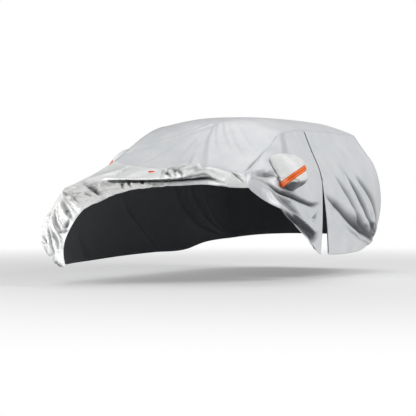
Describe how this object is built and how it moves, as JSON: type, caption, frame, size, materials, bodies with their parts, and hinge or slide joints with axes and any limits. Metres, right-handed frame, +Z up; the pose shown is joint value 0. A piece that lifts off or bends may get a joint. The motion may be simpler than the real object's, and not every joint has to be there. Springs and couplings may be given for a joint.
{
  "type": "fitted car cover",
  "caption": "Hollow fitted silver cover, draped over a compact car's shape, its front folded back at the windscreen, with a zipped door slit and mirror pockets that carry reflective strips.",
  "frame": {"origin": "underside of the roof cloth, on the middle line, at the point of the roof that carries the cover", "axes": "+Z up, +Y towards the tail, +X towards the car's left side, which has the zip"},
  "size_m": [2.0456, 4.3277, 1.3958],
  "materials": {
    "silver_cloth": "light silver-grey coated woven polyester, satin",
    "bright_silver_cloth": "bright silver coated cloth, crinkled, half gloss",
    "orange_reflective": "orange retroreflective tape, satin",
    "zip_teeth": "dark moulded plastic",
    "zip_tape": "grey woven tape"
  },
  "bodies": {
    "root": {"top_panel": "silver_cloth", "rear_panel": "silver_cloth", "left_front_panel": "silver_cloth", "left_rear_panel": "silver_cloth", "right_panel": "silver_cloth", "hood_panel": "bright_silver_cloth", "left_mirror_pocket": "bright_silver_cloth", "right_mirror_pocket": "bright_silver_cloth", "left_mirror_strip": "orange_reflective", "right_mirror_strip": "orange_reflective", "hood_strip": "orange_reflective", "zip_chain": "zip_teeth", "zip_slider": "zip_teeth", "zip_front_tape": "zip_tape", "zip_rear_tape": "zip_tape"}
  },
  "joints": []
}
